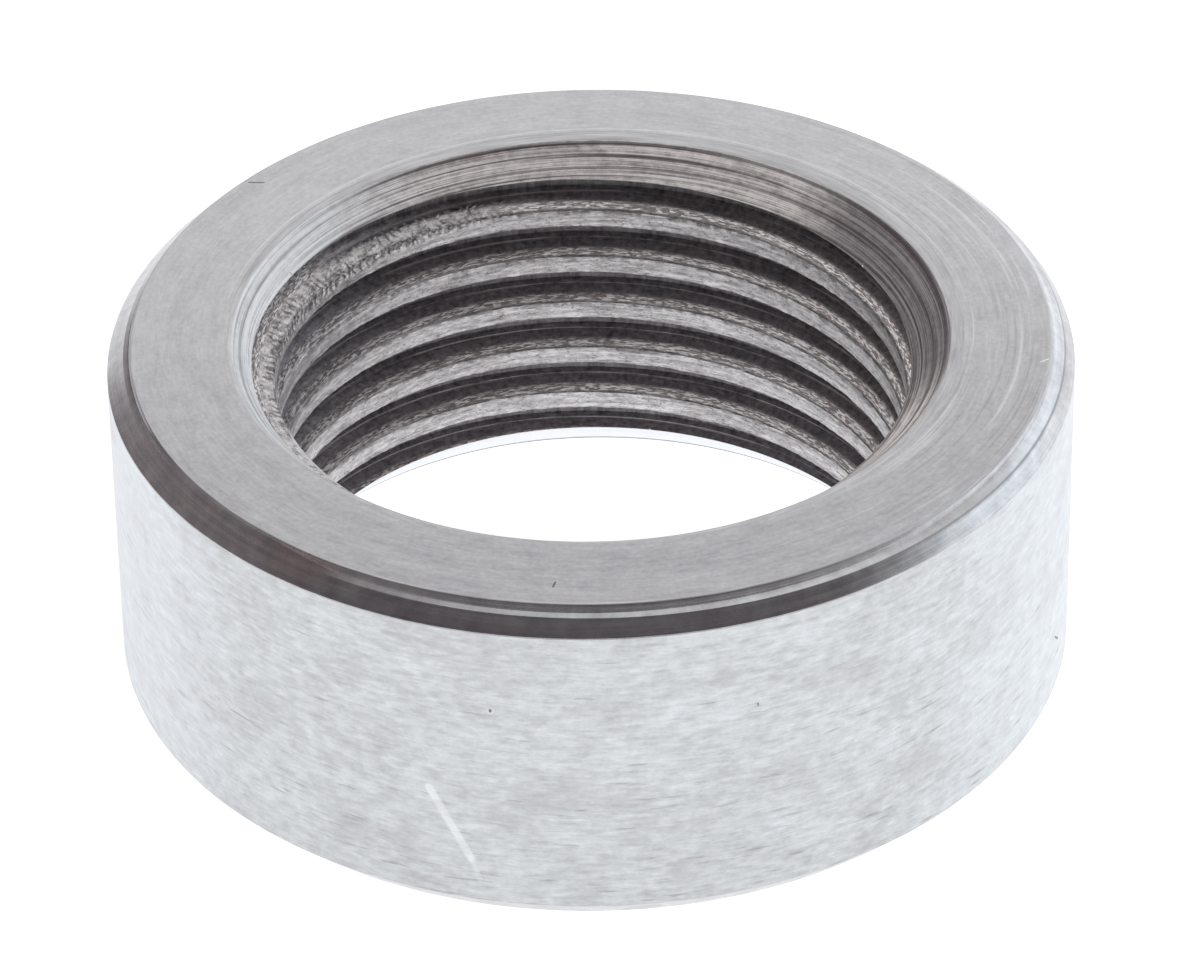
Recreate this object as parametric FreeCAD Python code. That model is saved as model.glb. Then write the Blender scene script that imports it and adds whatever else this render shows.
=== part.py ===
import FreeCAD, Part
import math
import os

# Weld-in bung for an exhaust oxygen sensor: a short ring turned from steel bar,
# threaded right through for the sensor and chamfered at both ends.
# Millimetres. The ring stands on its lower end at Z = 0, with its axis on Z.

HEIGHT = 9.9

# The sensor thread is M18 x 1.5, right-hand, and is cut right through
THREAD_DIAMETER = 18.0
THREAD_PITCH = 1.5
THREAD_DEPTH = 0.675
THREAD_ANGLE = 60.0
THREAD_ROOT_FLAT = 0.1875

# Height of a thread groove above the base, on the ring's +X side
THREAD_START = 0.95

# Steel left between the thread's root and the ring's outside, which makes the ring 25.4 across
WALL_THICKNESS = 3.7

# Each end of the bore is countersunk to a mouth wider than the thread all round
MOUTH_CLEARANCE = 0.45
COUNTERSINK_ANGLE = 90.0

# The upper outer edge was cut twice: a chamfer, a narrow step and an edge break
UPPER_CHAMFER = 0.40
STEP_WIDTH = 0.16
EDGE_BREAK_WIDTH = 0.09
EDGE_BREAK_HEIGHT = 0.27

# The lower outer edge has one plain chamfer
LOWER_CHAMFER = 0.8

# How far the thread tool reaches into the open bore, so that it cuts clean through the wall
TOOL_OVERLAP = 0.15

thread_radius = THREAD_DIAMETER / 2
outer_radius = thread_radius + WALL_THICKNESS
bore_radius = thread_radius - THREAD_DEPTH
mouth_radius = thread_radius + MOUTH_CLEARANCE
countersink_depth = (mouth_radius - bore_radius) / math.tan(math.radians(COUNTERSINK_ANGLE / 2))

origin = FreeCAD.Vector(0, 0, 0)
axis = FreeCAD.Vector(0, 0, 1)


def outline(points):
    """A closed outline from points given as radius and height, on the ring's +X side."""
    corners = [FreeCAD.Vector(radius, 0, height) for radius, height in points]
    return Part.makePolygon(corners + corners[:1])


def upper_edge():
    """Points of the upper outer edge, from the wall up to the sealing face."""
    chamfer_foot = HEIGHT - UPPER_CHAMFER - EDGE_BREAK_HEIGHT
    step_height = HEIGHT - EDGE_BREAK_HEIGHT
    step_outside = outer_radius - UPPER_CHAMFER
    step_inside = step_outside - STEP_WIDTH
    face_edge = step_inside - EDGE_BREAK_WIDTH
    return [
        (outer_radius, chamfer_foot),
        (step_outside, step_height),
        (step_inside, step_height),
        (face_edge, HEIGHT),
    ]


def lower_edge():
    """Points of the lower outer edge, from the base up to the wall."""
    return [
        (outer_radius - LOWER_CHAMFER, 0),
        (outer_radius, LOWER_CHAMFER),
    ]


def bore_wall():
    """Points of the bore, from the upper mouth down to the lower mouth."""
    return [
        (mouth_radius, HEIGHT),
        (bore_radius, HEIGHT - countersink_depth),
        (bore_radius, countersink_depth),
        (mouth_radius, 0),
    ]


def turned_ring():
    """The ring as it left the lathe, before the thread."""
    section = outline(lower_edge() + upper_edge() + bore_wall())
    return Part.Face(section).revolve(origin, axis, 360)


def thread_turn():
    """One turn of the thread groove, starting at Z = 0 on the +X side and rising anticlockwise."""
    flank_slope = math.tan(math.radians(THREAD_ANGLE / 2))
    tool_radius = bore_radius - TOOL_OVERLAP
    root_half_width = THREAD_ROOT_FLAT / 2
    tool_half_width = root_half_width + (thread_radius - tool_radius) * flank_slope
    section = outline([
        (tool_radius, -tool_half_width),
        (thread_radius, -root_half_width),
        (thread_radius, root_half_width),
        (tool_radius, tool_half_width),
    ])
    path = Part.Wire(Part.makeHelix(THREAD_PITCH, THREAD_PITCH, thread_radius).Edges)
    return path.makePipeShell([section], True, True)


def thread_cuts():
    """Every turn of the groove, from just below the base to just above the sealing face."""
    turn = thread_turn()
    turns_below = math.ceil(THREAD_START / THREAD_PITCH) + 1
    turns_above = math.ceil((HEIGHT - THREAD_START) / THREAD_PITCH) + 1
    cuts = []
    for number in range(-turns_below, turns_above):
        cut = turn.copy()
        cut.translate(axis * (THREAD_START + number * THREAD_PITCH))
        cuts.append(cut)
    return cuts


bung = turned_ring()
for groove in thread_cuts():
    bung = bung.cut(groove)

os.makedirs("parts", exist_ok=True)
bung.exportStep("parts/bung_body.step")

print("bung_body: solids", len(bung.Solids), "valid", bung.isValid(), "volume mm3", round(bung.Volume, 1))
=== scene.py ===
# %% [markdown]
# A weld-in bung: a short steel ring, threaded right through, that is welded into an
# exhaust pipe to carry an oxygen sensor. It was turned in one piece from bar, so it is
# one mesh here, with a finish for each way in which the lathe cut it.
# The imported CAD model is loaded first. It fixes the size and the place of everything.

# %% Load the frame
import math

import bmesh
import bpy
import numpy as np
from mathutils import Matrix, Vector, noise


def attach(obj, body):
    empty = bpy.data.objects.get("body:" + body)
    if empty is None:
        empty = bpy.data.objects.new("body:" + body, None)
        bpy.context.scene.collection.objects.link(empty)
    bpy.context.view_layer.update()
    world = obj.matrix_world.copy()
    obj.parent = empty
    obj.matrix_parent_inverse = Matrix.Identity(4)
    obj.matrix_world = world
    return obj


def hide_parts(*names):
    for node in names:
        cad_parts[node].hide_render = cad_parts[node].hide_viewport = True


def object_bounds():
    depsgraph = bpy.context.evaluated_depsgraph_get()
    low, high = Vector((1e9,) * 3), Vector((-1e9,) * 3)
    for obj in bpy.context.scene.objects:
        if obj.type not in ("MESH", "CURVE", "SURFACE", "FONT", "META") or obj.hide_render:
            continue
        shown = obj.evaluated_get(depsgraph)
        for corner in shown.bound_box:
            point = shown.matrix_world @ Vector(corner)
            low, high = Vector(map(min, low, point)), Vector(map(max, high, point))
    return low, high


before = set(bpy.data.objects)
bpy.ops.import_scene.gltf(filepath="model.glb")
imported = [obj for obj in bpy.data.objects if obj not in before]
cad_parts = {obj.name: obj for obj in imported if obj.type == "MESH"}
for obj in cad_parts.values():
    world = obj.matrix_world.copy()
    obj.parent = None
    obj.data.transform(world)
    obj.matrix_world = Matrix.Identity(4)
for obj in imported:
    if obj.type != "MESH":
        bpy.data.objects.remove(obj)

cad_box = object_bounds()
MM = 0.001
outside_radius = cad_box[1][0] / MM
print("CAD box in mm:", [[round(value / MM, 2) for value in corner] for corner in cad_box])

# %% [markdown]
# A mesh of a turned part is a grid. Its columns stand round the axis like the staves of
# a barrel, and its rows run round it like hoops. Each row needs a radius for every
# column. A hoop that was cut off centre, as when the ring was gripped a second time for
# its chamfer, only has another centre, so one small function gives both kinds.

# %% Columns and hoops
COLUMNS = 640
around = np.arange(COLUMNS) * 2 * math.pi / COLUMNS
cosine = np.cos(around)
sine = np.sin(around)


def hoop(radius, centre=(0.0, 0.0)):
    """For each column, the distance from the axis to a circle of this radius and centre, in mm."""
    along = cosine * centre[0] + sine * centre[1]
    return along + np.sqrt(radius**2 - centre[0] ** 2 - centre[1] ** 2 + along**2)


print("columns are", round(2 * math.pi * outside_radius / COLUMNS, 3), "mm apart outside")

# %% [markdown]
# The outside edge was cut in a second setting, so its circles sit a little to one side.
# From the wall up there is a chamfer, a narrow sloping step, a steep edge break, and a
# rounded corner where the sealing face begins. The step runs out on the left, where the
# cuts become one plain chamfer, and on the right it leans into a slope. A few turns round
# the ring, in degrees from its +X side, say where each cut lies, and the rest is blended
# between them. Round the mouth the countersink tool left a shallow lip, cut off centre
# too. Where cuts meet, real steel has a tiny rounded edge that catches the light, so each
# corner gets two hoops, a few hundredths of a millimetre apart.

# %% Sizes of the outside edge and the lip
HEIGHT = 9.9
WALL = 12.7
MOUTH = 9.45
BORE = 8.325
CHAMFER_FOOT = 9.23
LOWER_CHAMFER = 0.8
EDGE = 0.025

turn_of_column = np.mod(np.degrees(around) + 180, 360) - 180
cut_turns = [-180, -168, -158, -131, -122, -90, -55, -40, -20, 0, 60, 120, 180]


def along_cut(sizes):
    """A size in mm for each column, blended between its values at the cut's turns."""
    return np.interp(turn_of_column, cut_turns, sizes)


FACE_RADIUS = 12.055
FACE_CENTRE = (0.0, -0.03)
face_edge = hoop(FACE_RADIUS, FACE_CENTRE)
corner_width = along_cut([0.02, 0.02, 0.02, 0.02, 0.035, 0.05, 0.06,
                          0.07, 0.06, 0.05, 0.03, 0.02, 0.02])
break_foot = along_cut([12.12, 12.12, 12.13, 12.13, 12.20, 12.215, 12.21,
                        12.18, 12.15, 12.14, 12.12, 12.12, 12.12])
foot_height = along_cut([9.76, 9.78, 9.832, 9.832, 9.70, 9.685, 9.69,
                         9.72, 9.79, 9.82, 9.80, 9.78, 9.76])
STEP_RADIUS = 12.34
STEP_CENTRE = (0.085, -0.02)
step_outside = hoop(STEP_RADIUS, STEP_CENTRE)
step_height = along_cut([9.68, 9.68, 9.67, 9.67, 9.635, 9.63, 9.63,
                         9.63, 9.62, 9.61, 9.63, 9.65, 9.68])

LIP_RADIUS = 9.67
LIP_CENTRE = (0.135, 0.16)
lip_outside = np.maximum(hoop(LIP_RADIUS, LIP_CENTRE), MOUTH + 0.05)
lip_drop = np.interp(turn_of_column, [-180, -30, 20, 150, 180], [0.035, 0.03, 0.012, 0.012, 0.035])
mouth_height = HEIGHT - lip_drop
mouth_radius = MOUTH - lip_drop
print("the lip lies", round(lip_drop.min(), 3), "to", round(lip_drop.max(), 3), "mm low")

# %% [markdown]
# The hoops are listed from the upper mouth round the outside to the lower mouth. Each
# one says which finish the strip after it has, and whether the steel has a crisp edge
# there. Wide strips are divided, so that no face is long and thin.

# %% Hoops of the outside
ring_rows = []
row_finish = []
row_crisp = []


def add_row(radius, height, finish, crisp=False):
    """Adds a hoop, with the finish of the strip after it, and says whether it is a crisp edge."""
    ring_rows.append((radius + 0 * around, height + 0 * around))
    row_finish.append(finish)
    row_crisp.append(crisp)


FACE, EDGE_CUT, WALL_FINISH, CONE, THREAD, LIP = range(6)

add_row(mouth_radius, mouth_height, LIP)
add_row(mouth_radius + 0.02, mouth_height + lip_drop * 0.45, LIP)
add_row(MOUTH + 0.03, HEIGHT - lip_drop * 0.2, LIP)
add_row(lip_outside, HEIGHT - 0.001, FACE)
FACE_STRIPS = 12
for strip in range(1, FACE_STRIPS):
    share = strip / FACE_STRIPS
    add_row(lip_outside * (1 - share) + (face_edge - EDGE) * share, HEIGHT, FACE)
add_row(face_edge - EDGE, HEIGHT, LIP)
add_row(face_edge + corner_width * 0.5, HEIGHT - corner_width * 0.15, LIP)
add_row(face_edge + corner_width, HEIGHT - corner_width * 0.5, EDGE_CUT)
add_row(face_edge + corner_width + 0.012, HEIGHT - corner_width * 0.5 - 0.02, EDGE_CUT)
add_row(break_foot, foot_height, EDGE_CUT, crisp=True)
add_row(step_outside, step_height, EDGE_CUT, crisp=True)
add_row((step_outside + WALL) / 2, (step_height + CHAMFER_FOOT) / 2, EDGE_CUT)
add_row(WALL - EDGE * 0.4, CHAMFER_FOOT + EDGE * 0.5, EDGE_CUT, crisp=True)
add_row(WALL, CHAMFER_FOOT - EDGE * 0.8, WALL_FINISH, crisp=True)
WALL_STRIPS = 10
for strip in range(1, WALL_STRIPS):
    add_row(WALL, CHAMFER_FOOT + (LOWER_CHAMFER - CHAMFER_FOOT) * strip / WALL_STRIPS, WALL_FINISH)
add_row(WALL, LOWER_CHAMFER + EDGE, EDGE_CUT, crisp=True)
add_row(WALL - EDGE, LOWER_CHAMFER - EDGE, EDGE_CUT, crisp=True)
add_row(WALL - LOWER_CHAMFER + EDGE, EDGE, EDGE_CUT, crisp=True)
add_row(WALL - LOWER_CHAMFER - EDGE, 0, FACE, crisp=True)
BASE_STRIPS = 4
for strip in range(1, BASE_STRIPS):
    share = strip / BASE_STRIPS
    add_row((WALL - LOWER_CHAMFER - EDGE) * (1 - share) + MOUTH * share, 0, FACE)
add_row(MOUTH, 0, FACE)
print(len(ring_rows), "hoops from the upper mouth round the outside to the lower mouth")

# %% [markdown]
# The sensor screws into an M18 x 1.5 thread, which is right-handed: going anticlockwise
# seen from above, a groove rises by one pitch in a turn. The rows inside the bore rise
# with it, so that the edges of the thread lie on rows and stay sharp. One list says how
# deep the steel is cut at each row of a pitch, from one groove's centre to the next.
# It could be a screw modifier, but that would not end cleanly in the countersinks.

# %% Rows of the thread
PITCH = 1.5
ROOT = 9.0
ROOT_HALF = 0.094
GROOVE_HALF = 0.4835
THREAD_START = 0.95
TORN_SHARES = (0.10, 0.21, 0.32, 0.43)
STEP_SHARE = 0.785
STEP_DROP = 0.028


def flank(share):
    """Offset from a groove's centre, and radius, at this share of a flank from the crest."""
    return GROOVE_HALF + (ROOT_HALF - GROOVE_HALF) * share, BORE + (ROOT - BORE) * share


pitch_rows = [(-ROOT_HALF, ROOT), (ROOT_HALF, ROOT), flank(0.5)]
pitch_rows += [(GROOVE_HALF - 0.012, BORE + 0.03), (GROOVE_HALF + 0.03, BORE)]
pitch_rows += [(0.66, BORE), (0.82, BORE)]
pitch_rows += [(PITCH - GROOVE_HALF - 0.03, BORE), (PITCH - GROOVE_HALF + 0.012, BORE + 0.03)]
for share in TORN_SHARES:
    offset, radius = flank(share)
    pitch_rows.append((PITCH - offset, radius))
step_offset, step_radius = flank(STEP_SHARE)
pitch_rows += [(PITCH - step_offset - STEP_DROP, step_radius), (PITCH - step_offset, step_radius)]
ROWS_A_PITCH = len(pitch_rows)

thread_heights = []
thread_radii = []
number = -3
while THREAD_START + number * PITCH < HEIGHT + 0.1:
    for offset, radius in pitch_rows:
        thread_heights.append(THREAD_START + number * PITCH + offset)
        thread_radii.append(radius)
    number += 1
thread_heights = np.array(thread_heights)
thread_radii = np.array(thread_radii)
THREAD_ROWS = len(thread_heights)
print(ROWS_A_PITCH, "rows a pitch,", THREAD_ROWS, "rows in all")

# %% [markdown]
# Each mouth is countersunk at about 45 degrees, the lower one a little deeper, and the
# cone cuts the thread away where it is wider. A row that runs into a cone moves out to
# it. The seam between cone and thread crosses the rows at a slant, so the nearest vertex
# is moved exactly onto it, which keeps the runout of the thread clean instead of toothed.

# %% Cut the thread back to the countersinks
LOWER_SINK = 1.215


def cone_radius(height):
    """Radius of the nearer countersink at this height; less than the bore between the two."""
    upper = BORE + (height - (HEIGHT - (MOUTH - BORE)))
    lower = BORE + (LOWER_SINK - height) * (MOUTH - BORE) / LOWER_SINK
    return np.maximum(upper, lower)


rise = PITCH * around / (2 * math.pi)
height_grid = thread_heights[None, :] + rise[:, None]
radius_grid = np.repeat(thread_radii[None, :], COLUMNS, axis=0)
spare = radius_grid - cone_radius(height_grid)
crossing = spare[:, :-1] * spare[:, 1:] < 0
change = np.where(crossing, spare[:, :-1] - spare[:, 1:], 1)
seam_share = np.where(crossing, spare[:, :-1] / change, 0)
seam_radius = radius_grid[:, :-1] + (radius_grid[:, 1:] - radius_grid[:, :-1]) * seam_share
seam_height = height_grid[:, :-1] + (height_grid[:, 1:] - height_grid[:, :-1]) * seam_share

bore_radius = np.maximum(radius_grid, cone_radius(height_grid))
bore_height = height_grid.copy()
on_seam = np.zeros(bore_radius.shape, dtype=bool)
for column, row in zip(*np.nonzero(crossing)):
    nearest = row if seam_share[column, row] < 0.5 else row + 1
    bore_radius[column, nearest] = seam_radius[column, row]
    bore_height[column, nearest] = seam_height[column, row]
    on_seam[column, nearest] = True
inside = (bore_height > 0.01) & (bore_height < mouth_height[:, None] - 0.01)
in_cone = cone_radius(bore_height) > bore_radius - 0.002
print("seam vertices:", int(on_seam.sum()), "vertices in the bore:", int(inside.sum()))

# %% [markdown]
# Torn steel: the tap has dragged small flakes over the edge of each crest. Noise moves
# those rows in and out by a few hundredths of a millimetre. It is read at each vertex's
# place in space, so it has no seam where the last column meets the first.

# %% Roughen the thread's edges
WAVES_PER_MM = 1.8
GRAINS_PER_MM = 6.0
FLAKES_PER_MM = 13.0


def roughness_at(radius, height, column, per_mm):
    """A smooth random number from -1 to 1 for a place in the bore, with so many lumps in a mm."""
    place = Vector((radius * cosine[column], radius * sine[column], height))
    return noise.noise(place * per_mm)


below_centre = np.mod(thread_heights - THREAD_START + PITCH / 2, PITCH) - PITCH / 2
for column, row in zip(*np.nonzero(inside & ~in_cone)):
    radius = bore_radius[column, row]
    height = bore_height[column, row]
    share = (thread_radii[row] - BORE) / (ROOT - BORE)
    on_crest = abs(below_centre[row]) > GROOVE_HALF + 0.02
    tear = 0.25 if on_crest else max(0.0, 1 - share / 0.55)
    if below_centre[row] > 0 and not on_crest:
        tear *= 0.4
    wave = roughness_at(radius, height, column, WAVES_PER_MM)
    grain = roughness_at(radius, height, column, GRAINS_PER_MM)
    flake = roughness_at(radius, height, column, FLAKES_PER_MM)
    bore_radius[column, row] += tear * (0.045 * grain + 0.020 * wave + 0.030 * flake)
    bore_height[column, row] += tear * (0.030 * wave + 0.020 * grain)
print("roughened", int((inside & ~in_cone).sum()), "vertices")

# %% [markdown]
# Now the grid becomes one closed mesh. After one turn a thread row arrives one pitch
# higher, so the last column joins the first with its rows shifted by a pitch. Rows that
# have run past a mouth are all the same vertex on its rim, and faces that shrink to
# nothing there are left out.

# %% Faces of the ring
vertices = []
for radius, height in ring_rows:
    for column in range(COLUMNS):
        vertices.append((radius[column] * cosine[column], radius[column] * sine[column],
                         height[column]))
UPPER_RIM = 0
LOWER_RIM = (len(ring_rows) - 1) * COLUMNS
bore_index = np.where(bore_height >= (mouth_height / 2)[:, None], UPPER_RIM, LOWER_RIM)
bore_index = bore_index + np.arange(COLUMNS)[:, None]
for column, row in zip(*np.nonzero(inside)):
    bore_index[column, row] = len(vertices)
    radius = bore_radius[column, row]
    vertices.append((radius * cosine[column], radius * sine[column], bore_height[column, row]))

faces = []
finishes = []


def add_face(corners, finish):
    """Adds a face unless its corners have run together."""
    kept = [corner for place, corner in enumerate(corners) if corner != corners[place - 1]]
    if len(set(kept)) == len(kept) and len(kept) > 2:
        faces.append(kept)
        finishes.append(finish)


for row in range(len(ring_rows) - 1):
    for column in range(COLUMNS):
        after = (column + 1) % COLUMNS
        add_face([row * COLUMNS + column, row * COLUMNS + after,
                  (row + 1) * COLUMNS + after, (row + 1) * COLUMNS + column], row_finish[row])

for column in range(COLUMNS):
    after = (column + 1) % COLUMNS
    shift = ROWS_A_PITCH if after == 0 else 0
    for row in range(THREAD_ROWS - 1):
        left, left_up = bore_index[column, row], bore_index[column, row + 1]
        if row + 1 + shift < THREAD_ROWS:
            right, right_up = bore_index[after, row + shift], bore_index[after, row + 1 + shift]
            slant = on_seam[column, row + 1] and on_seam[after, row + shift]
        else:
            right, right_up, slant = after, after, False
            if row + shift < THREAD_ROWS:
                right = bore_index[after, row + shift]
        finish = CONE if in_cone[column, row] and in_cone[column, row + 1] else THREAD
        if slant:
            add_face([left, left_up, right], finish)
            add_face([left_up, right_up, right], finish)
        elif on_seam[column, row] and right_up != right:
            add_face([left, left_up, right_up], finish)
            add_face([left, right_up, right], finish)
        else:
            add_face([left, left_up, right_up, right], finish)
print(len(vertices), "vertices,", len(faces), "faces")

# %% [markdown]
# Smooth shading rounds a mesh off everywhere, so the real edges are marked as sharp: in
# the thread wherever it bends a lot, and on the outside only along its crisp hoops. The
# count of open edges shows whether the skin is closed, as a solid's has to be.

# %% Mesh of the ring and its sharp edges
SHARP_BEND = math.radians(33)
OUTSIDE_VERTICES = len(ring_rows) * COLUMNS
ring_mesh = bpy.data.meshes.new("bung_ring")
ring_mesh.from_pydata([Vector(place) * MM for place in vertices], [], faces)
ring_mesh.polygons.foreach_set("material_index", finishes)
ring_mesh.polygons.foreach_set("use_smooth", [True] * len(faces))
work = bmesh.new()
work.from_mesh(ring_mesh)
bmesh.ops.recalc_face_normals(work, faces=work.faces)
open_edges = sum(1 for edge in work.edges if not edge.is_manifold)
volume = work.calc_volume() / MM**3
work.to_mesh(ring_mesh)
work.free()
ring_mesh.set_sharp_from_angle(angle=SHARP_BEND)
for edge in ring_mesh.edges:
    first, second = sorted(edge.vertices)
    if COLUMNS <= first and second < OUTSIDE_VERTICES:
        hoop_number = first // COLUMNS
        edge.use_edge_sharp = row_crisp[hoop_number] and second // COLUMNS == hoop_number
ring_mesh.update()
triangles = sum(len(polygon.vertices) - 2 for polygon in ring_mesh.polygons)
print("ring:", triangles, "triangles,", open_edges, "open edges, volume", round(volume, 1), "mm3")

# %% [markdown]
# The ring takes the place of the CAD solid and rides on the one body.

# %% Put the ring in the frame
ring = bpy.data.objects.new("bung_ring", ring_mesh)
bpy.context.scene.collection.objects.link(ring)
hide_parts("bung_body")
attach(ring, "root")
print("ring in the frame, on body root")

# %% [markdown]
# The steel is plain low-carbon steel, bright and uncoated. Steel gives back a little
# more than half of the light, almost without colour, so its finishes are all light greys
# and differ most in how the tool left the surface. Colours are written as sRGB hex, as
# on a paint chart, and one function turns them to the linear values that Blender uses.

# %% Helpers for finishes
def linear(hex_colour):
    """A colour written in sRGB hex as linear red, green, blue and full opacity."""
    shares = [int(hex_colour[place:place + 2], 16) / 255 for place in (1, 3, 5)]
    light = [s / 12.92 if s <= 0.04045 else ((s + 0.055) / 1.055) ** 2.4 for s in shares]
    return tuple(light) + (1.0,)


def node(tree, kind, settings=None, inputs=None):
    """Adds a node with its settings. An input is a value, or the output that feeds it."""
    made = tree.nodes.new("ShaderNode" + kind)
    for name, value in (settings or {}).items():
        setattr(made, name, value)
    for name, value in (inputs or {}).items():
        if isinstance(value, bpy.types.NodeSocket):
            tree.links.new(value, made.inputs[name])
        else:
            made.inputs[name].default_value = value
    return made.outputs


print("a light grey in linear light:", [round(value, 3) for value in linear("#C6C7C9")])

# %% [markdown]
# Lathe marks follow the tool, so the patterns need coordinates that go round the ring.
# Noise that is squeezed along the height gives lines round the wall. On the face the
# radius takes the height's place. Both are made from the place in space, so there is
# no seam. Millimetres are easier to think in, so the place is scaled first.

# %% Coordinates round the ring
def ring_places(tree):
    """Sockets for a place on the ring in mm: its vector, its x, y and z, and its radius."""
    place = node(tree, "TexCoord")["Object"]
    millimetres = node(tree, "VectorMath", {"operation": "SCALE"}, {0: place, "Scale": 1 / MM})[0]
    parts = node(tree, "SeparateXYZ", inputs={0: millimetres})
    flat = node(tree, "CombineXYZ", inputs={0: parts["X"], 1: parts["Y"]})[0]
    radius = node(tree, "VectorMath", {"operation": "LENGTH"}, {0: flat})["Value"]
    unit = node(tree, "VectorMath", {"operation": "NORMALIZE"}, {0: flat})[0]
    return {"place": millimetres, "x": parts["X"], "y": parts["Y"], "z": parts["Z"],
            "flat": flat, "radius": radius, "unit": unit}


def sum_of(tree, *parts):
    """The sum of some values, each given with its share."""
    total = 0.0
    for value, share in parts:
        total = node(tree, "Math", {"operation": "MULTIPLY_ADD"}, {0: value, 1: share, 2: total})[0]
    return total


def product_of(tree, value, *others):
    """The product of some values, full only where all of them are."""
    for other in others:
        value = node(tree, "Math", {"operation": "MULTIPLY"}, {0: value, 1: other})[0]
    return value


def lined_up(tree, places, across, round_per_mm, per_mm):
    """Where to read a pattern in lines round the ring: how often it changes in a mm, both ways."""
    x = product_of(tree, places["x"], round_per_mm)
    y = product_of(tree, places["y"], round_per_mm)
    z = product_of(tree, across, per_mm)
    return node(tree, "CombineXYZ", inputs={0: x, 1: y, 2: z})[0]


def streaks(tree, places, across, round_per_mm, per_mm, detail=2.0, roughness=0.5):
    """Noise in lines round the ring, which cross the value given as across."""
    lines = lined_up(tree, places, across, round_per_mm, per_mm)
    return node(tree, "TexNoise", inputs={"Vector": lines, "Scale": 1.0, "Detail": detail,
                                          "Roughness": roughness})[0]


print("patterns are laid out in millimetres")

# %% [markdown]
# A finish is painted in layers: a tone from noise, then each mark laid over it where a
# value between 0 and 1 says so. One helper makes such a value from a smooth step, one
# makes a tone from two hex colours, and one lays a colour over another.

# %% Steps, tones and paint
def between(tree, value, start, end, full=1.0):
    """A smooth step from 0 at start to full at end."""
    return node(tree, "MapRange", {"interpolation_type": "SMOOTHSTEP"},
                {"Value": value, "From Min": start, "From Max": end,
                 "To Min": 0.0, "To Max": full})[0]


def two_tone(tree, value, low, low_hex, high, high_hex):
    """A colour that goes from one hex colour at low to another at high."""
    colour = node(tree, "ValToRGB", inputs={0: value})["Color"]
    ramp = colour.node.color_ramp
    ramp.elements[0].position, ramp.elements[0].color = low, linear(low_hex)
    ramp.elements[1].position, ramp.elements[1].color = high, linear(high_hex)
    return colour


def paint(tree, under, above, *where):
    """One colour laid over another where all these values are full. The upper one may be hex."""
    above = linear(above) if isinstance(above, str) else above
    share = product_of(tree, *where)
    return node(tree, "Mix", {"data_type": "RGBA"}, {0: share, "A": under, "B": above})["Result"]


print("tones are laid over each other, from the steel up")

# %% [markdown]
# Scratches, nicks and pits are short straight marks, and a tool that rested left a thin
# circle. Each has a place on the real ring, given by its radius, its turn in degrees and
# its height. Two helpers say how near a place is to such a line or circle. The last two
# start a steel finish on the ring and join its parts to the shader.

# %% Marks and finishes
def at(radius, turn, height):
    """A place in mm from its radius, its turn in degrees and its height."""
    turn = math.radians(turn)
    return Vector((radius * math.cos(turn), radius * math.sin(turn), height))


def near_line(tree, places, start, end, width, full=1.0):
    """How near a place is to a straight mark: full on it, 0 at its width."""
    along = (end - start) / max((end - start).length_squared, 1e-9)
    offset = node(tree, "VectorMath", {"operation": "SUBTRACT"}, {0: places["place"], 1: start})[0]
    share = node(tree, "VectorMath", {"operation": "DOT_PRODUCT"}, {0: offset, 1: along})["Value"]
    share = node(tree, "Math", {"operation": "MULTIPLY", "use_clamp": True}, {0: share, 1: 1.0})[0]
    foot = node(tree, "VectorMath", {"operation": "SCALE"}, {0: end - start, "Scale": share})[0]
    distance = node(tree, "VectorMath", {"operation": "DISTANCE"}, {0: offset, 1: foot})["Value"]
    return between(tree, distance, width, width * 0.4, full)


def near_circle(tree, places, radius, centre, width, full=1.0):
    """How near a place is to an off-centre circle round the ring: full on it, 0 at its width."""
    distance = node(tree, "VectorMath", {"operation": "DISTANCE"},
                    {0: places["flat"], 1: (centre[0], centre[1], 0)})["Value"]
    away = node(tree, "Math", {"operation": "SUBTRACT"}, {0: distance, 1: radius})[0]
    away = node(tree, "Math", {"operation": "ABSOLUTE"}, {0: away})[0]
    return between(tree, away, width, width * 0.3, full)


def steel_finish(name):
    """Gives the ring a new steel material and returns its tree, its shader and its places."""
    material = bpy.data.materials.new(name)
    material.use_nodes = True
    tree = material.node_tree
    shader = tree.nodes["Principled BSDF"]
    shader.inputs["Metallic"].default_value = 1.0
    ring_mesh.materials.append(material)
    return tree, shader, ring_places(tree)


def finish_with(tree, shader, colour, roughness, height, depth):
    """Joins a colour, a roughness and a bump, whose depth is in mm, to a shader."""
    bump = node(tree, "Bump", inputs={"Strength": 1.0, "Distance": depth * MM, "Height": height})[0]
    tree.links.new(colour, shader.inputs["Base Color"])
    tree.links.new(roughness, shader.inputs["Roughness"])
    tree.links.new(bump, shader.inputs["Normal"])


print("finishes so far:", len(ring_mesh.materials))
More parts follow.
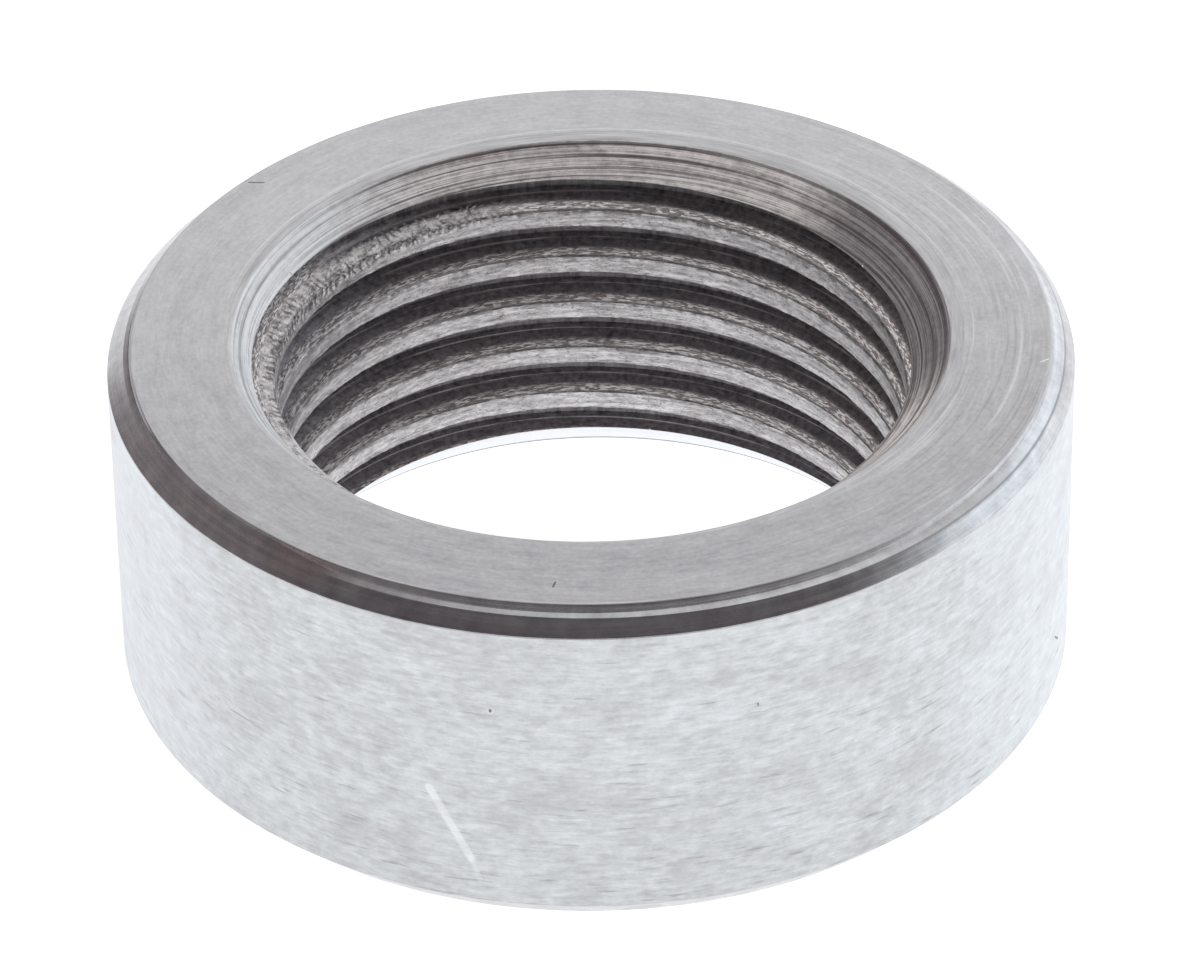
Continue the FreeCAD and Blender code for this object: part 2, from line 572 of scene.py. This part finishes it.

# %% [markdown]
# The faced steel of the sealing face and the base: a facing tool crossed it in a fine
# spiral, then it was rubbed lightly. Fine lines lie round the axis, about 0.1 mm apart,
# drawn coarser than the real feed so that they show. The rubbing left a thin haze, so a
# fifth of the light is scattered. On the right a tool that sat off centre left longer
# arcs. A faint groove marks the outside of the lip, drawn as a thin line of painted shade,
# and there is a pit in front, a dark scratch at the back and a light one on the right.
# The face is painted darker towards the front, as painted shade.

# %% Faced steel
tree, shader, places = steel_finish("faced_mild_steel")
fine = streaks(tree, places, places["radius"], 1.6, 11.0, detail=3.0, roughness=0.65)
broad = streaks(tree, places, places["radius"], 0.22, 2.2, detail=3.0, roughness=0.6)
cloud = node(tree, "TexNoise", inputs={"Vector": places["place"], "Scale": 1.1, "Detail": 4.0})[0]
grain = node(tree, "TexNoise", inputs={"Vector": places["place"], "Scale": 7.0,
                                       "Detail": 3.0, "Roughness": 0.7})[0]
ARC_CENTRE = (0.41, 0.22, 0)
arc_radius = node(tree, "VectorMath", {"operation": "DISTANCE"},
                  {0: places["flat"], 1: ARC_CENTRE})["Value"]
arcs = streaks(tree, places, arc_radius, 0.08, 6.0, detail=3.0, roughness=0.7)
arc_side = between(tree, places["x"], 4.0, 9.5)
# Painted shade: the face is painted darker towards the front.
painted_shade_front = between(tree, places["y"], 6.0, -10.0)
tone = sum_of(tree, (fine, 0.34), (broad, 0.30), (cloud, 0.20), (grain, 0.34), (painted_shade_front, -0.14))
colour = two_tone(tree, tone, 0.30, "#9F9DA1", 0.80, "#D3D3D5")
colour = paint(tree, colour, "#E6E7E9", arc_side, between(tree, arcs, 0.55, 0.66, 0.42))
colour = paint(tree, colour, "#8E8A8E", arc_side, between(tree, arcs, 0.45, 0.36, 0.35))
beside = product_of(tree, near_circle(tree, places, LIP_RADIUS + 0.17, LIP_CENTRE, 0.045, 0.4),
                    between(tree, places["y"], 1.0, 5.0))
colour = paint(tree, colour, "#E2E2E4", beside)
# Painted shade: the faint groove round the lip is a thin dark line at the back.
groove_shade = product_of(tree, near_circle(tree, places, LIP_RADIUS, LIP_CENTRE, 0.06, 0.35),
                    between(tree, places["y"], 0.0, 3.0))
colour = paint(tree, colour, "#7C757A", groove_shade)
dark_marks = ((at(11.22, -95.0, HEIGHT), at(11.42, -95.2, HEIGHT), 0.035),
              (at(11.89, 140.6, HEIGHT), at(11.57, 139.4, HEIGHT), 0.035))
light_marks = ((at(11.84, -8.4, HEIGHT), at(12.03, -7.6, HEIGHT), 0.03),
               (at(MOUTH, 3.0, HEIGHT), at(9.62, 2.2, HEIGHT), 0.03),
               (at(MOUTH, 18.0, HEIGHT), at(9.64, 18.8, HEIGHT), 0.03))
for start, end, width in dark_marks:
    colour = paint(tree, colour, "#4A4448", near_line(tree, places, start, end, width, 0.85))
for start, end, width in light_marks:
    colour = paint(tree, colour, "#F4F5F6", near_line(tree, places, start, end, width, 0.8))
HAZE = 0.2
shader.inputs["Metallic"].default_value = 1 - HAZE
finish_with(tree, shader, colour, sum_of(tree, (broad, 0.18), (1.0, 0.26)), fine, 0.004)
print("faced steel: roughness 0.26 to 0.44, lines 0.09 mm")

# %% [markdown]
# The edge cuts are bare, smooth and slightly warm: the chamfer tool ran hot where it
# started, in front on the left, and left a faint brown tint there. On the right a thin
# dark line of painted shade lies in the corner between step and chamfer, and on the left
# a thin dark line lies just under the sealing face. The turning lines are 0.1 mm apart.

# %% Chamfered steel
tree, shader, places = steel_finish("chamfered_mild_steel")
fine = streaks(tree, places, places["z"], 0.12, 10.0, detail=3.0)
cloud = node(tree, "TexNoise", inputs={"Vector": places["place"], "Scale": 1.6,
                                       "Detail": 4.0, "Roughness": 0.65})[0]
tone = sum_of(tree, (fine, 0.45), (cloud, 0.55))
colour = two_tone(tree, tone, 0.34, "#A7A6A9", 0.64, "#D4D4D5")
tint = near_line(tree, places, at(12.1, -128.0, HEIGHT), at(12.1, -125.0, HEIGHT), 1.0, 0.3)
colour = paint(tree, colour, "#C0A19B", tint)
# Painted shade: a thin dark line in the corner between step and chamfer, on the right.
corner = product_of(tree, near_circle(tree, places, STEP_RADIUS + 0.005, STEP_CENTRE, 0.035, 0.6),
                    between(tree, places["x"], 6.0, 9.5))
colour = paint(tree, colour, "#6E6A6E", corner)
# A thin dark line just under the sealing face, on the left.
dark_line_under_face = product_of(tree, near_circle(tree, places, 12.1, (0, 0), 0.055, 0.7),
                      between(tree, places["x"], -9.5, -11.5))
colour = paint(tree, colour, "#5E5A5E", dark_line_under_face)
finish_with(tree, shader, colour, sum_of(tree, (fine, 0.14), (1.0, 0.20)), fine, 0.004)
print("chamfered steel: roughness 0.20 to 0.34")

# %% [markdown]
# The wall is the outside of the bar. It was ground and then tumbled, which leaves fine
# short streaks round it, a mottle, soft grey patches and a few thin dark hairs. The
# streaks are drawn about 0.12 mm apart, coarser than the real grit left them.
# One long light scratch, three small pits and a bright speck are placed by their turn
# and height.

# %% Ground steel of the wall
tree, shader, places = steel_finish("ground_mild_steel")
fine = streaks(tree, places, places["z"], 1.4, 8.0, detail=3.0, roughness=0.7)
mottle = streaks(tree, places, places["z"], 2.4, 3.4, detail=4.0, roughness=0.7)
patches = streaks(tree, places, places["z"], 0.35, 0.65, detail=5.0, roughness=0.62)
hairs = streaks(tree, places, places["z"], 0.70, 9.0, detail=3.0, roughness=0.6)
lower_half = between(tree, places["z"], 7.5, 3.5, 0.04)
hairs = sum_of(tree, (hairs, 1.0), (lower_half, 1.0))
tone = sum_of(tree, (fine, 0.36), (mottle, 0.34), (patches, 0.30))
colour = two_tone(tree, tone, 0.38, "#BABBBC", 0.61, "#DDE1E3")
# Painted sheen: the wall is painted lighter towards its left and right sides.
painted_sheen_at_sides = node(tree, "Math", {"operation": "ABSOLUTE"}, {0: places["x"]})[0]
colour = paint(tree, colour, "#EEF3F8", between(tree, painted_sheen_at_sides, 8.0, 12.4, 0.4))
worn = between(tree, patches, 0.46, 0.34, 0.20)
colour = paint(tree, colour, "#BDB6B6", worn)
hair = between(tree, hairs, 0.63, 0.76, 0.42)
colour = paint(tree, colour, "#7E7A7C", hair)
light_marks = ((at(WALL, -109.6, 4.14), at(WALL, -104.8, 2.09), 0.16, 0.42),
               (at(WALL, -104.8, 2.09), at(WALL, -103.8, 1.42), 0.11, 0.2),
               (at(WALL, -31.7, 2.04), at(WALL, -31.2, 2.00), 0.08, 0.4),
               (at(WALL, -102.1, 6.85), at(WALL, -102.1, 6.86), 0.13, 0.2))
dark_marks = ((at(WALL, -102.1, 6.84), at(WALL, -102.1, 6.88), 0.050, 0.8),
              (at(WALL, -71.4, 6.62), at(WALL, -71.4, 6.68), 0.035, 0.6),
              (at(WALL, -17.3, 2.52), at(WALL, -15.6, 2.20), 0.045, 0.8))
uneven = sum_of(tree, (mottle, 1.2), (1.0, 0.4))
for start, end, width, strength in light_marks:
    mark = near_line(tree, places, start, end, width, strength)
    colour = paint(tree, colour, "#FAFCFD", mark, uneven)
for start, end, width, strength in dark_marks:
    mark = near_line(tree, places, start, end, width, strength)
    colour = paint(tree, colour, "#4A4A4E", mark)
finish_with(tree, shader, colour, sum_of(tree, (patches, 0.14), (1.0, 0.34)), fine, 0.004)
print("ground steel: roughness 0.34 to 0.48, streaks 0.12 mm")

# %% [markdown]
# The countersink was cut with a blunt tool and shows fine turning lines that run nearly
# all the way round, as close as the tool's feed of about 0.04 mm, with a few deeper ones
# at twice that. Such a torn surface isn't bright like a cut one: a film of fine debris
# dulls it, so half of it scatters light instead of mirroring it. On the right it is
# darker, partly where cutting oil has burnt on and partly as painted shade. The left side
# is painted lighter as painted light, the lower mouth is painted almost white as painted
# light, and a thin painted contact shadow darkens the lower rim on the table.

# %% Countersunk steel
tree, shader, places = steel_finish("countersunk_mild_steel")
shader.inputs["Metallic"].default_value = 0.5
fine = streaks(tree, places, places["z"], 0.15, 24.0, detail=3.0, roughness=0.75)
deep_lines = streaks(tree, places, places["z"], 0.05, 12.0, detail=3.0, roughness=0.7)
speckle = streaks(tree, places, places["z"], 3.0, 6.0, detail=3.0, roughness=0.7)
tone = sum_of(tree, (fine, 0.7), (speckle, 0.3))
colour = two_tone(tree, tone, 0.38, "#8E8584", 0.56, "#EEE9E7")
scored = product_of(tree, between(tree, deep_lines, 0.5, 0.4, 0.8),
                    between(tree, places["x"], -14.0, -4.0))
# Darker on the right: partly a burnt-on oil stain, partly painted shade.
STAIN_AND_SHADE_TURN = 15.0
towards_stain_and_shade = node(tree, "VectorMath", {"operation": "DOT_PRODUCT"},
                    {0: places["unit"], 1: tuple(at(1, STAIN_AND_SHADE_TURN, 0))})["Value"]
burnt_stain_and_shade = between(tree, towards_stain_and_shade, 0.78, 0.95, 0.70)
cut_lines = node(tree, "Math", {"operation": "MAXIMUM"},
                 {0: near_circle(tree, places, 8.90, (0, 0), 0.035, 0.6),
                  1: near_circle(tree, places, 9.38, (0, 0), 0.050, 0.7)})[0]
cut_lines = product_of(tree, cut_lines, between(tree, places["y"], 0.5, 3.5),
                       between(tree, places["x"], -8.5, -4.5))
# Painted light: the left side of the countersink is painted lighter.
painted_light_left = between(tree, places["x"], -3.0, -8.5, 0.6)
# Painted light: the lower mouth is painted almost white.
lower = between(tree, places["z"], 3.0, 2.0)
# Painted contact shadow: a thin dark band at the lower rim, on the table.
painted_contact_shadow = between(tree, places["z"], 0.13, 0.05, 0.8)
colour = paint(tree, colour, "#E0E4E8", painted_light_left)
colour = paint(tree, colour, "#5A5052", scored)
colour = paint(tree, colour, "#4B454D", burnt_stain_and_shade, sum_of(tree, (fine, -0.5), (1.0, 1.25)))
colour = paint(tree, colour, "#4E4649", cut_lines)
colour = paint(tree, colour, "#F2F4F6", lower)
colour = paint(tree, colour, "#5E5555", painted_contact_shadow)
finish_with(tree, shader, colour, sum_of(tree, (fine, 0.12), (1.0, 0.50)), fine, 0.030)
print("countersunk steel: roughness 0.50 to 0.62, finest turning lines 0.04 mm")

# %% [markdown]
# The thread was cut with a tap. Its marks are too small to model, so they are noise in
# different stretches: pocks and fine cracks on the crests, scratches along them, flakes
# and long tears on the flanks, short dashes from a cell pattern, and cross ticks deep in
# the groove. The flank patterns are read along the slope, radius and height together.
# Where the tap ran in, the torn steel stands up in teeth, about 1.8 degrees apart.

# %% Patterns of the tapped steel
tree, shader, places = steel_finish("tapped_mild_steel")
up_flank = sum_of(tree, (places["radius"], 1.0), (places["z"], 1.0))
pocks = streaks(tree, places, places["z"], 3.2, 9.0, detail=5.0, roughness=0.75)
cracks = streaks(tree, places, places["z"], 1.1, 5.5, detail=3.0, roughness=0.65)
scratches = streaks(tree, places, places["z"], 0.35, 7.0, detail=4.0, roughness=0.75)
flakes = streaks(tree, places, up_flank, 2.6, 10.0, detail=5.0, roughness=0.8)
long_tears = streaks(tree, places, up_flank, 0.30, 7.0, detail=2.0, roughness=0.6)
ticks = streaks(tree, places, places["z"], 6.5, 1.2, detail=2.0, roughness=0.6)
dash_place = lined_up(tree, places, up_flank, 6.5, 26.0)
dash_cells = node(tree, "TexVoronoi", inputs={"Vector": dash_place, "Scale": 1.0})["Color"]
dashes = node(tree, "SeparateColor", inputs={"Color": dash_cells})[0]

TEETH_ROUND = 200.0
SWAY_OF_TEETH = 19.0
angle = node(tree, "Math", {"operation": "ARCTAN2"}, {0: places["y"], 1: places["x"]})[0]
sway = streaks(tree, places, places["z"], 1.6, 1.6, detail=3.0, roughness=0.6)
tooth_phase = sum_of(tree, (angle, TEETH_ROUND), (sway, SWAY_OF_TEETH))
teeth = node(tree, "Math", {"operation": "SINE"}, {0: tooth_phase})[0]
teeth = sum_of(tree, (teeth, 0.5), (1.0, 0.5))
print("tapped steel: dashes 0.15 mm long, teeth", round(360 / TEETH_ROUND, 1), "degrees apart")

# %% [markdown]
# Each part of the thread has its own skin, and the radius tells them apart: the crest is
# at the bore, the torn steel beside it on the flank, and the groove, painted darker as
# painted shade, is deepest. The groove's edge is ragged, so the flakes shift it a little.
# Just under the countersink and where the tap ran in on the left, the groove isn't deep
# yet. The teeth are in the first turn alone.

# %% Parts of the thread
off_crest = between(tree, places["radius"], BORE + 0.02, BORE + 0.06)
first_turn = product_of(tree, between(tree, places["z"], 8.05, 8.35),
                        between(tree, places["x"], -1.0, -4.0))
ragged_radius = sum_of(tree, (places["radius"], 1.0), (flakes, 0.16), (first_turn, -0.08))
under_cone = sum_of(tree, (places["radius"], 1.0), (places["z"], -1.0), (HEIGHT - MOUTH, 1.0))
deep = product_of(tree, between(tree, ragged_radius, BORE + 0.26, BORE + 0.38),
                  between(tree, under_cone, 0.28, 0.45))
run_in = product_of(tree, between(tree, places["z"], 8.0, 8.35),
                    between(tree, places["x"], -6.8, -7.8))
deep = node(tree, "Math", {"operation": "SUBTRACT", "use_clamp": True}, {0: deep, 1: run_in})[0]
torn = sum_of(tree, (off_crest, 1.0), (deep, -1.0))
toothed = product_of(tree, first_turn, between(tree, places["z"], 8.15, 8.5),
                     between(tree, places["radius"], BORE + 0.46, BORE + 0.34))
print("crest, torn flank, deep groove and teeth told apart")

# %% [markdown]
# The crests are what is left of the bore, light, scratched along and finely cracked. The
# torn flanks scatter light instead of mirroring it, so they are less metallic. Deep down
# the steel is painted darker as painted shade, with faint cross ticks and a thin painted
# highlight on the step where the tap's tip ran. One crest at the back has a dark chip.

# %% Tapped steel of the thread
crest_tone = two_tone(tree, sum_of(tree, (pocks, 0.5), (scratches, 0.5)),
                      0.38, "#8F8B8C", 0.58, "#E0DEDE")
off_middle = node(tree, "Math", {"operation": "ABSOLUTE"},
                  {0: sum_of(tree, (cracks, 1.0), (0.5, -1.0))})[0]
crest_tone = paint(tree, crest_tone, "#575052", between(tree, off_middle, 0.014, 0.004, 0.65))
torn_tone = two_tone(tree, sum_of(tree, (dashes, 0.5), (flakes, 0.2), (long_tears, 0.3)),
                     0.42, "#8A8180", 0.68, "#F2EFEF")
tooth_tone = two_tone(tree, sum_of(tree, (pocks, 0.5), (flakes, 0.5)),
                      0.40, "#7F7A7B", 0.56, "#DEDBDA")
# Painted shade: deep in the groove the steel is painted darker.
deep_tone_with_painted_shade = two_tone(tree, sum_of(tree, (ticks, 0.5), (flakes, 0.5)),
                     0.38, "#6E6A6E", 0.64, "#A8A4A6")
# Painted highlight: a thin light line on the flank's step, where the tap's tip ran.
tip_line_highlight = near_circle(tree, places, BORE + 0.52, (0, 0), 0.035, 0.5)
deep_tone_with_painted_shade = paint(tree, deep_tone_with_painted_shade, "#D8D2D2", tip_line_highlight, between(tree, long_tears, 0.44, 0.56))

colour = paint(tree, crest_tone, torn_tone, off_crest)
colour = paint(tree, colour, deep_tone_with_painted_shade, deep)
colour = paint(tree, colour, tooth_tone, toothed)
frayed_teeth = sum_of(tree, (teeth, 1.0), (pocks, 1.1), (flakes, -1.1))
# Painted shade: dark gaps between the teeth.
painted_shade_between_teeth = product_of(tree, between(tree, frayed_teeth, 0.42, 0.12, 0.75),
                  between(tree, cracks, 0.58, 0.42))
colour = paint(tree, colour, "#4F4748", toothed, painted_shade_between_teeth)
chip = near_line(tree, places, at(8.72, 86.1, 4.07), at(8.40, 87.3, 3.88), 0.09, 0.6)
colour = paint(tree, colour, "#45434A", chip)

relief = sum_of(tree, (pocks, 0.020), (product_of(tree, torn, dashes), 0.030),
                (product_of(tree, deep, ticks), 0.014), (product_of(tree, toothed, teeth), 0.05))
finish_with(tree, shader, colour, sum_of(tree, (torn, 0.30), (1.0, 0.42)), relief, 1.0)
tree.links.new(sum_of(tree, (torn, -0.7), (1.0, 1.0)), shader.inputs["Metallic"])
print("tapped steel: crests roughness 0.42, torn flakes 0.72")

# %% [markdown]
# The lip round the mouth and the corner of the sealing face were rubbed as the tools
# left them, which made them smoother than the face. They have the same thin haze, and
# their lines are 0.07 mm apart.

# %% Burnished steel of the lip
tree, shader, places = steel_finish("burnished_mild_steel")
fine = streaks(tree, places, places["radius"], 0.6, 14.0, detail=4.0, roughness=0.7)
cloud = streaks(tree, places, places["radius"], 0.5, 3.0, detail=4.0, roughness=0.65)
tone = sum_of(tree, (fine, 0.55), (cloud, 0.45))
colour = two_tone(tree, tone, 0.36, "#A1A0A3", 0.62, "#CBCBCD")
shader.inputs["Metallic"].default_value = 1 - HAZE
finish_with(tree, shader, colour, sum_of(tree, (fine, 0.12), (1.0, 0.30)), fine, 0.006)
print("burnished steel: roughness 0.30 to 0.42")

# %% [markdown]
# The ring stands on a white table that is lit from below as well as from above, as for a
# catalogue picture. A lit table keeps its white under and inside the ring. It lies two
# hundredths of a millimetre below the base, because two faces in one plane would show
# through each other in stripes.

# %% White table
TABLE_RADIUS = 1.2
TABLE_GAP = 0.02 * MM
table_work = bmesh.new()
bmesh.ops.create_circle(table_work, cap_ends=True, segments=96, radius=TABLE_RADIUS)
table_mesh = bpy.data.meshes.new("white_table")
table_work.to_mesh(table_mesh)
table_work.free()
table = bpy.data.objects.new("white_table", table_mesh)
table.location.z = -TABLE_GAP
bpy.context.scene.collection.objects.link(table)
table_finish = bpy.data.materials.new("opal_acrylic")
table_finish.use_nodes = True
tree = table_finish.node_tree
shader = tree.nodes["Principled BSDF"]
shader.inputs["Base Color"].default_value = linear("#B4B4B4")
shader.inputs["Roughness"].default_value = 0.8
shader.inputs["Specular IOR Level"].default_value = 0.0
shader.inputs["Emission Color"].default_value = linear("#FCFDFF")
shader.inputs["Emission Strength"].default_value = 0.97
table_mesh.materials.append(table_finish)
print("table of", TABLE_RADIUS * 2, "m across")

# %% [markdown]
# Steel shows its surroundings, so the light tent decides how it looks. The tent is
# painted on the world: each panel is a soft round patch round a direction, laid over
# those before it. It is bright behind, above and to the right. The dark patches are the
# gap above the camera, and the darker room low in front and to the left.

# %% Light tent
world = bpy.data.worlds.new("light_tent")
bpy.context.scene.world = world
world.use_nodes = True
tree = world.node_tree
background = tree.nodes["Background"]
direction = node(tree, "TexCoord")["Generated"]


def panel(under, towards, inner, outer, colour):
    """A soft round patch of the tent: full inside the inner angle in degrees, gone at the outer."""
    aim = tuple(Vector(towards).normalized())
    facing = node(tree, "VectorMath", {"operation": "DOT_PRODUCT"}, {0: direction, 1: aim})["Value"]
    patch = between(tree, facing, math.cos(math.radians(outer)), math.cos(math.radians(inner)))
    return paint(tree, under, colour, patch)


def grey(level, hex_tint="#FFFFFF"):
    """A light of this strength, tinted."""
    return tuple(level * value for value in linear(hex_tint)[:3]) + (1.0,)


tent = panel(grey(0.55), (0, 1, 0.18), 8, 46, grey(1.05))
tent = panel(tent, (0.42, 0.78, 0.36), 6, 20, grey(1.2))
tent = panel(tent, (1, 0.43, 0.38), 19, 36, grey(1.48, "#F2FAFF"))
tent = panel(tent, (0.6, 0.8, 0.06), 8, 24, grey(1.5, "#F6F9FF"))
tent = panel(tent, (-0.8, 0.28, 0.40), 28, 58, grey(0.26, "#FFF0F2"))
tent = panel(tent, (-0.95, -0.3, 0.15), 20, 45, grey(0.22, "#FFF0F2"))
tent = panel(tent, (0, -0.574, 0.819), 34, 68, grey(0.145, "#FFF3F9"))
tent = panel(tent, (0, -1, 0.22), 22, 46, grey(0.145, "#FFF3F9"))
tent = panel(tent, (0.75, -0.65, 0.15), 16, 34, grey(0.155, "#FFF3F9"))
tent = panel(tent, (0, 0.45, 0.9), 16, 36, grey(0.90))
camera_sees = node(tree, "LightPath")["Is Camera Ray"]
seen = paint(tree, tent, grey(1.1), camera_sees)
tree.links.new(seen, background.inputs["Color"])
bpy.context.scene.view_settings.view_transform = "Standard"
print("light tent of ten panels")

# %% [markdown]
# A soft lamp above fills the mouth. It is hidden from gloss, so only steel that scatters
# takes its light: most of all the torn steel in the mouth, and a little of it the haze
# on the sealing face. It is linked to the ring alone, so that the ring throws no shadow
# on the lit table.

# %% Lamp over the table
lamp_data = bpy.data.lights.new("overhead_softbox", "AREA")
lamp_data.shape = "DISK"
lamp_data.size = 120 * MM
lamp_data.energy = 0.16
lamp = bpy.data.objects.new("overhead_softbox", lamp_data)
lamp.location = Vector((-40, -30, 130)) * MM
lamp.rotation_euler = (math.radians(-13), math.radians(-17), 0)
lamp.visible_glossy = False
lit_pieces = bpy.data.collections.new("lit_by_the_softbox")
lit_pieces.objects.link(ring)
lamp.light_linking.receiver_collection = lit_pieces
bpy.context.scene.collection.objects.link(lamp)
print("softbox", lamp_data.energy, "W")

# %% [markdown]
# The camera was found by matching the ring's outline, its mouth and its thread crests
# with the picture: 35 degrees above the table, nearly 190 mm away, with a long lens. It
# leans by almost a degree.

# %% Camera
CAMERA_PLACE = Vector((-0.0626, -151.78, 111.48)) * MM
ELEVATION = math.radians(-35.056)
LEAN = math.radians(-0.91)
ahead = Vector((0, math.cos(ELEVATION), math.sin(ELEVATION)))
level_right = ahead.cross(Vector((0, 0, 1))).normalized()
level_up = level_right.cross(ahead)
right = math.cos(LEAN) * level_right + math.sin(LEAN) * level_up
up = -math.sin(LEAN) * level_right + math.cos(LEAN) * level_up
camera_data = bpy.data.cameras.new("camera")
camera_data.sensor_fit = "HORIZONTAL"
camera_data.sensor_width = 36.0
camera_data.lens = 212.28
camera_data.clip_start = 0.01
camera = bpy.data.objects.new("camera", camera_data)
turn = Matrix((right, up, -ahead)).transposed().to_4x4()
camera.matrix_world = Matrix.Translation(CAMERA_PLACE) @ turn
bpy.context.scene.collection.objects.link(camera)
bpy.context.scene.camera = camera
print("camera", round(CAMERA_PLACE.length / MM), "mm away, lens", camera_data.lens, "mm")

# %% Update the scene
bpy.context.view_layer.update()
